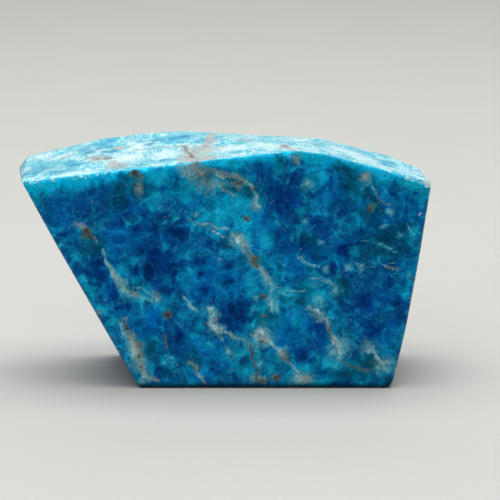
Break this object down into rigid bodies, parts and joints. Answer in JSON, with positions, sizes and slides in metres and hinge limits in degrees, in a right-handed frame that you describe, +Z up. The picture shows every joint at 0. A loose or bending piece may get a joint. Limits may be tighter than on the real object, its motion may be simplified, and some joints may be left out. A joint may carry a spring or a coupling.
{
  "type": "blue apatite freeform",
  "caption": "Polished freeform block of blue apatite with a flat base, slanted sides, a low crowned top and a crusty upper corner, for display.",
  "frame": {"origin": "centre of the bounding box at the height of the flat base", "axes": "+X along the block towards the crusty corner, +Y from the flat front to the back, +Z up from the base"},
  "size_m": [0.092, 0.0302, 0.0535],
  "materials": {
    "apatite": "polished, with satin top and rough crust at one corner"
  },
  "bodies": {
    "root": {"blue_apatite": "apatite"}
  },
  "joints": []
}
